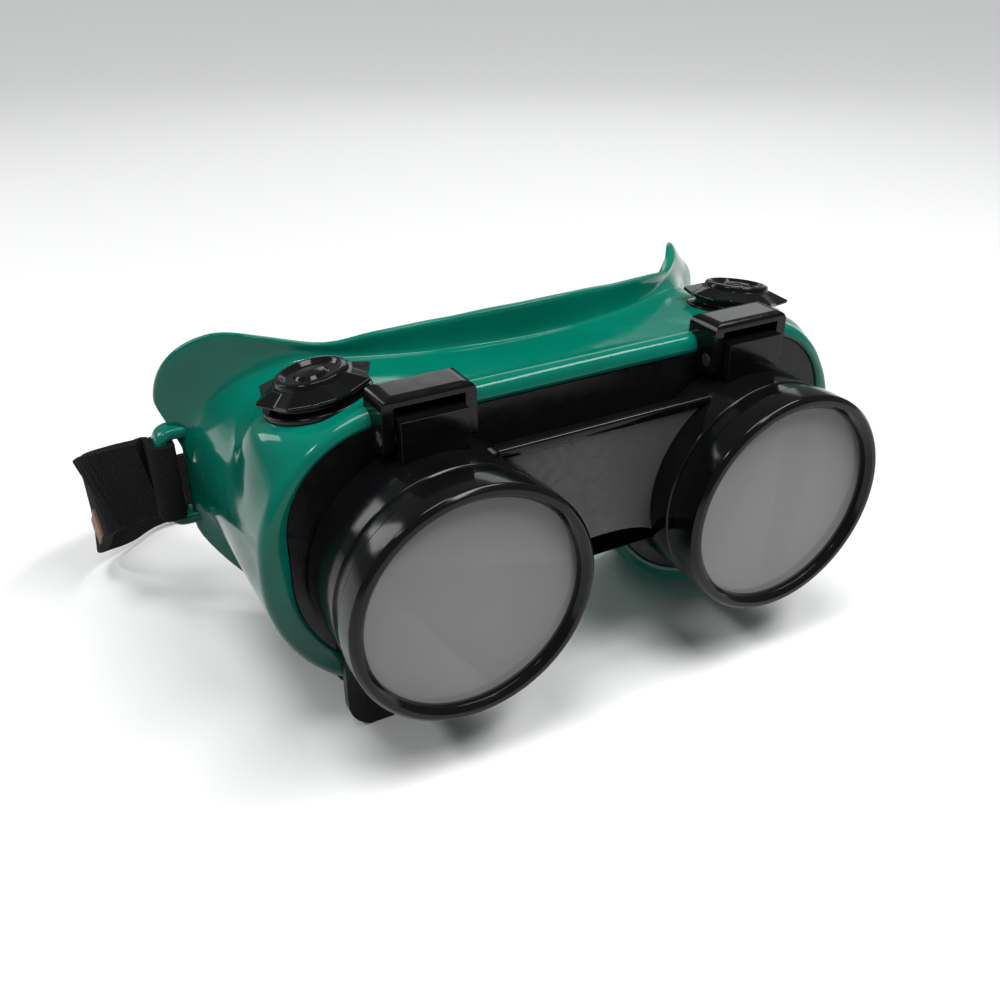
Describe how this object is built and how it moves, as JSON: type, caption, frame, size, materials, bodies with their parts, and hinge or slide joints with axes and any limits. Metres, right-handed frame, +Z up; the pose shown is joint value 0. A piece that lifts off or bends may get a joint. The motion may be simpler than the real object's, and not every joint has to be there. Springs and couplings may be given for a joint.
{
  "type": "welding goggles",
  "caption": "Flip-front welding goggles: soft face mask with covered air vents, round screw-ring lens cups on a hinged front, and an elastic headband.",
  "frame": {"origin": "centre of the whole object's box, on the plane it rests on", "axes": "+Z up as worn, -Y the way the lenses look, +X the wearer's left"},
  "size_m": [0.1892, 0.1316, 0.0782],
  "materials": {
    "green_pvc": "glossy flexible moulding",
    "black_plastic": "polished moulding",
    "black_matte_plastic": "fine texture",
    "elastic_webbing": "woven elastic",
    "steel": "drawn wire",
    "clear_lens": "clear",
    "cover_glass": "clear",
    "filter_glass": "dark green filter",
    "gasket_rubber": "matt"
  },
  "bodies": {
    "mask": {"goggle_body": "green_pvc", "front_frame": "black_plastic", "bracket_rivets": "steel", "hinge_pins": "steel", "headband": "elastic_webbing", "clear_lens_right": "clear_lens", "clear_lens_ring_right": "black_plastic", "hinge_bracket_right": "black_plastic", "vent_cap_upper_right": "black_plastic", "vent_cap_lower_right": "black_plastic", "vent_plug_upper_right": "black_matte_plastic", "vent_plug_lower_right": "black_matte_plastic", "clear_lens_left": "clear_lens", "clear_lens_ring_left": "black_plastic", "hinge_bracket_left": "black_plastic", "vent_cap_upper_left": "black_plastic", "vent_cap_lower_left": "black_plastic", "vent_plug_upper_left": "black_matte_plastic", "vent_plug_lower_left": "black_matte_plastic"},
    "flip_front": {"flip_carrier": "black_plastic", "cover_lens_right": "cover_glass", "filter_lens_right": "filter_glass", "lens_gasket_right": "gasket_rubber", "cover_lens_left": "cover_glass", "filter_lens_left": "filter_glass", "lens_gasket_left": "gasket_rubber"},
    "band_adjuster": {"band_slider": "black_matte_plastic"},
    "slip_right": {"slip_ring_right": "gasket_rubber"},
    "cap_right": {"lens_cap_right": "black_plastic"},
    "slip_left": {"slip_ring_left": "gasket_rubber"},
    "cap_left": {"lens_cap_left": "black_plastic"}
  },
  "joints": [
    {"name": "flip_hinge", "type": "hinge", "parent": "mask", "child": "flip_front", "pos_m": [0, -0.04435, 0.0696], "axis": [-1, 0, 0], "range_deg": [0, 95]},
    {"name": "band_adjust", "type": "slide", "parent": "mask", "child": "band_adjuster", "axis": [1, 0, 0], "range_m": [-0.035, 0.035]},
    {"name": "cap_right_advance", "type": "slide", "parent": "flip_front", "child": "slip_right", "axis": [0, -1, 0], "range_m": [0, 0.0025]},
    {"name": "cap_right_turn", "type": "hinge", "parent": "slip_right", "child": "cap_right", "pos_m": [-0.0389, -0.06295, 0.04], "axis": [0, -1, 0], "range_deg": [0, 600]},
    {"name": "cap_left_advance", "type": "slide", "parent": "flip_front", "child": "slip_left", "axis": [0, -1, 0], "range_m": [0, 0.0025]},
    {"name": "cap_left_turn", "type": "hinge", "parent": "slip_left", "child": "cap_left", "pos_m": [0.0389, -0.06295, 0.04], "axis": [0, -1, 0], "range_deg": [0, 600]}
  ],
  "couplings": [
    {"joint": "cap_right_advance", "follows": "cap_right_turn", "m_per_rad": 0.000238},
    {"joint": "cap_left_advance", "follows": "cap_left_turn", "m_per_rad": 0.000238}
  ]
}
